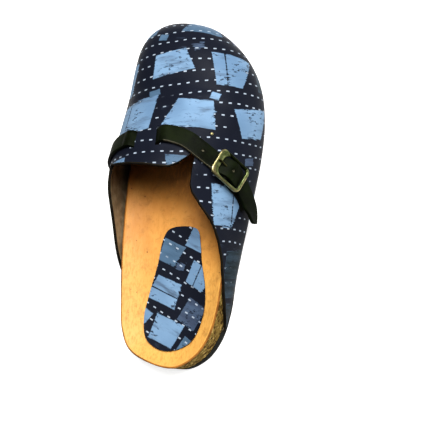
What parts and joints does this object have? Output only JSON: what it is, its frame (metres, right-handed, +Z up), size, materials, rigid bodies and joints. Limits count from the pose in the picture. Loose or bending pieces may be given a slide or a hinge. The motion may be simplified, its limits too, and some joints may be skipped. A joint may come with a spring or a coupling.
{
  "type": "cork clog",
  "caption": "Right-foot clog with a closed toe and an open heel: one-piece leather upper, buckled instep strap, contoured cork footbed and foam outsole.",
  "frame": {"origin": "on the floor, under the centre of the shoe's bounding box", "axes": "+Y towards the toe, +X towards the outer side of the right foot, +Z up"},
  "size_m": [0.1118, 0.2568, 0.0753],
  "materials": {
    "outsole_foam": "matt black foam rubber",
    "cork": "sealed ground cork with light and dark grains",
    "insole_leather": "smooth tan leather with a soft sheen",
    "inlay_leather": "printed smooth leather",
    "printed_leather": "printed smooth leather, navy and light blue",
    "strap_leather": "black leather with raw edges",
    "tab_leather": "black leather",
    "antique_brass": "dark antique brass, worn bright on its edges",
    "prong_brass": "dark antique brass"
  },
  "bodies": {
    "root": {"outsole": "outsole_foam", "cork_footbed": "cork", "insole": "insole_leather", "heel_inlay": "inlay_leather", "upper": "printed_leather", "strap": "strap_leather", "buckle_tab": "tab_leather", "buckle_frame": "antique_brass", "buckle_prong": "prong_brass"}
  },
  "joints": []
}
